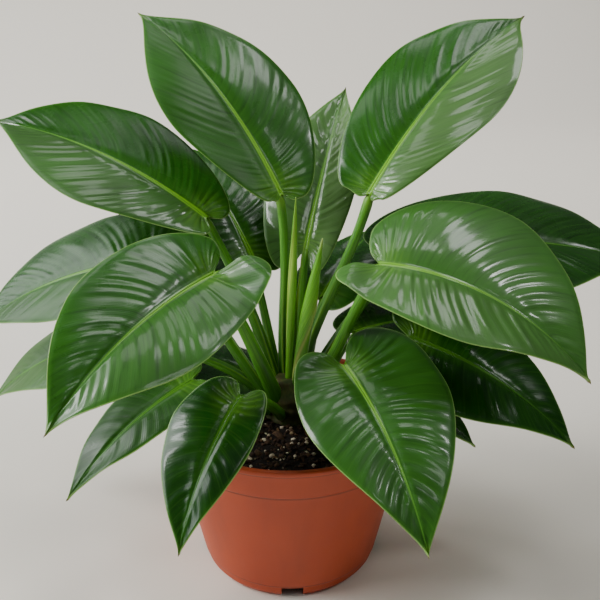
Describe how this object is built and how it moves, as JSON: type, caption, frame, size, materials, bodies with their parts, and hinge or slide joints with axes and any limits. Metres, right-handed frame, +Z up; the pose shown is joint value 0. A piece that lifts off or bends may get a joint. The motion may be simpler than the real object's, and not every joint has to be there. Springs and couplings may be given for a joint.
{
  "type": "potted imperial green philodendron",
  "caption": "Compact philodendron with heart-shaped glossy leaves on round stalks, in a tapered terracotta-coloured plastic nursery pot filled with potting soil.",
  "frame": {"origin": "middle of the underside of the pot, on the surface it stands on", "axes": "+Z up along the axis of the pot, -Y towards the front of the plant, +X to the right as seen from the front"},
  "size_m": [0.4293, 0.2491, 0.3255],
  "materials": {
    "terracotta_plastic": "satin moulded plastic",
    "soil": "matt crumbly peat soil with pale granules",
    "stem": "matt ringed plant stem",
    "leaf": "glossy dark green living leaf with a pale midrib",
    "stalk": "satin mid green leaf stalk",
    "sheath_pale": "satin pale yellow-green bud sheath",
    "sheath_green": "satin mid green bud sheath",
    "new_leaf": "satin bright green rolled new leaf"
  },
  "bodies": {
    "root": {"pot": "terracotta_plastic", "soil": "soil", "stem": "stem", "blade_top_left": "leaf", "petiole_top_left": "stalk", "blade_top_right": "leaf", "petiole_top_right": "stalk", "blade_high_left": "leaf", "petiole_high_left": "stalk", "blade_mid_left": "leaf", "petiole_mid_left": "stalk", "blade_front_left": "leaf", "petiole_front_left": "stalk", "blade_low_left": "leaf", "petiole_low_left": "stalk", "blade_low_front_left": "leaf", "petiole_low_front_left": "stalk", "blade_low_front": "leaf", "petiole_low_front": "stalk", "blade_front_right": "leaf", "petiole_front_right": "stalk", "blade_mid_right": "leaf", "petiole_mid_right": "stalk", "blade_back_right": "leaf", "petiole_back_right": "stalk", "blade_low_right": "leaf", "petiole_low_right": "stalk", "blade_small_right": "leaf", "petiole_small_right": "stalk", "blade_back": "leaf", "petiole_back": "stalk", "blade_back_left": "leaf", "petiole_back_left": "stalk", "blade_small_back": "leaf", "petiole_small_back": "stalk", "blade_low_back_right": "leaf", "petiole_low_back_right": "stalk", "blade_low_back_left": "leaf", "petiole_low_back_left": "stalk", "sheath_pale": "sheath_pale", "sheath_green": "sheath_green", "new_leaf_rolled": "new_leaf"}
  },
  "joints": []
}
